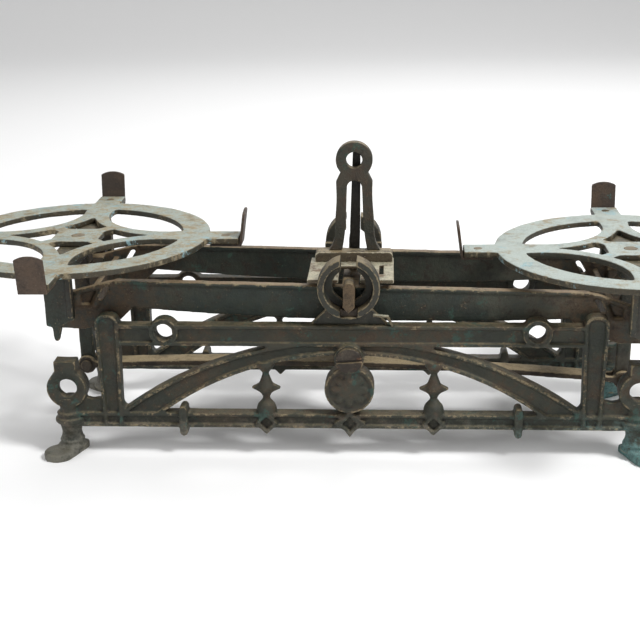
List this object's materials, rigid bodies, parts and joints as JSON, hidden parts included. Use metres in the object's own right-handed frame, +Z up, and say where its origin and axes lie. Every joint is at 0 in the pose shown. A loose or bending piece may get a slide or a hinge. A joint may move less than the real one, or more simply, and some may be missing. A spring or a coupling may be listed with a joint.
{
  "type": "counter scale",
  "caption": "Equal-armed counter scale with an openwork cast-iron base, knife-edge beam, check lever, index fork and flat spider rings for pans",
  "frame": {"origin": "on the table, under the centre of the beam", "axes": "+X along the beam to the right-hand pan ring, +Y from the index side to the back, +Z up"},
  "size_m": [0.7468, 0.2868, 0.248],
  "materials": {
    "frame_iron": "old dark green paint over cast iron, rust at the edges",
    "cup_iron": "worn dark paint and brown rust",
    "bearing_steel": "hardened steel, dull",
    "bridge_iron": "pale worn paint with rust stains",
    "pedestal_iron": "brown rust with pale edges",
    "fork_iron": "dark green paint, brown wear",
    "fastener_steel": "old steel, browned",
    "beam_iron": "dark green and brown, pale worn top edge",
    "knife_steel": "old tool steel",
    "needle_steel": "dark oxidised steel",
    "lever_iron": "dusty tan rust",
    "carrier_iron": "dark grey-green paint",
    "ring_paint": "pale blue-grey paint with tan worn edges",
    "lug_steel": "dark brown rust"
  },
  "bodies": {
    "base": {"front_frame": "frame_iron", "rear_frame": "frame_iron", "front_bearing_cup": "cup_iron", "rear_bearing_cup": "cup_iron", "front_centre_bearing": "bearing_steel", "rear_centre_bearing": "bearing_steel", "bridge_plate": "bridge_iron", "pedestal": "pedestal_iron", "index_fork": "fork_iron", "fork_screws": "fastener_steel", "bearing_clip": "bridge_iron", "lever_bridge": "lever_iron", "front_tie_screw": "fastener_steel", "rear_tie_screw": "fastener_steel", "lever_pin": "fastener_steel"},
    "beam": {"beam": "beam_iron", "needle": "needle_steel", "front_centre_knife": "knife_steel", "rear_centre_knife": "knife_steel", "left_front_knife": "knife_steel", "left_rear_knife": "knife_steel", "right_front_knife": "knife_steel", "right_rear_knife": "knife_steel"},
    "check_lever": {"check_lever": "lever_iron", "left_lever_pin": "fastener_steel", "right_lever_pin": "fastener_steel"},
    "left_carrier": {"left_carrier": "carrier_iron", "left_stem": "carrier_iron", "left_front_bearing": "bearing_steel", "left_rear_bearing": "bearing_steel", "left_pan_ring": "ring_paint", "left_hub_rivet": "fastener_steel", "left_lug_rivets": "fastener_steel", "left_outer_lug": "lug_steel", "left_back_lug": "lug_steel", "left_inner_lug": "lug_steel", "left_front_lug": "lug_steel"},
    "right_carrier": {"right_carrier": "carrier_iron", "right_stem": "carrier_iron", "right_front_bearing": "bearing_steel", "right_rear_bearing": "bearing_steel", "right_pan_ring": "ring_paint", "right_hub_rivet": "fastener_steel", "right_lug_rivets": "fastener_steel", "right_outer_lug": "lug_steel", "right_back_lug": "lug_steel", "right_inner_lug": "lug_steel", "right_front_lug": "lug_steel"}
  },
  "joints": [
    {"name": "beam_tilt", "type": "hinge", "parent": "base", "child": "beam", "pos_m": [0, 0, 0.1273], "axis": [0, 1, 0], "range_deg": [-4.82, 1.98]},
    {"name": "left_carrier_swing", "type": "hinge", "parent": "beam", "child": "left_carrier", "pos_m": [-0.22993, 0, 0.133], "axis": [0, 1, 0], "range_deg": [-1.98, 4.82]},
    {"name": "right_carrier_swing", "type": "hinge", "parent": "beam", "child": "right_carrier", "pos_m": [0.22993, 0, 0.1216], "axis": [0, 1, 0], "range_deg": [-1.98, 4.82]},
    {"name": "check_lever_tilt", "type": "hinge", "parent": "base", "child": "check_lever", "pos_m": [0, 0, 0.049], "axis": [0, 1, 0], "range_deg": [-4.82, 1.98]}
  ],
  "couplings": [
    {"joint": "left_carrier_swing", "follows": "beam_tilt", "ratio": -1},
    {"joint": "right_carrier_swing", "follows": "beam_tilt", "ratio": -1},
    {"joint": "check_lever_tilt", "follows": "beam_tilt", "ratio": 1}
  ]
}
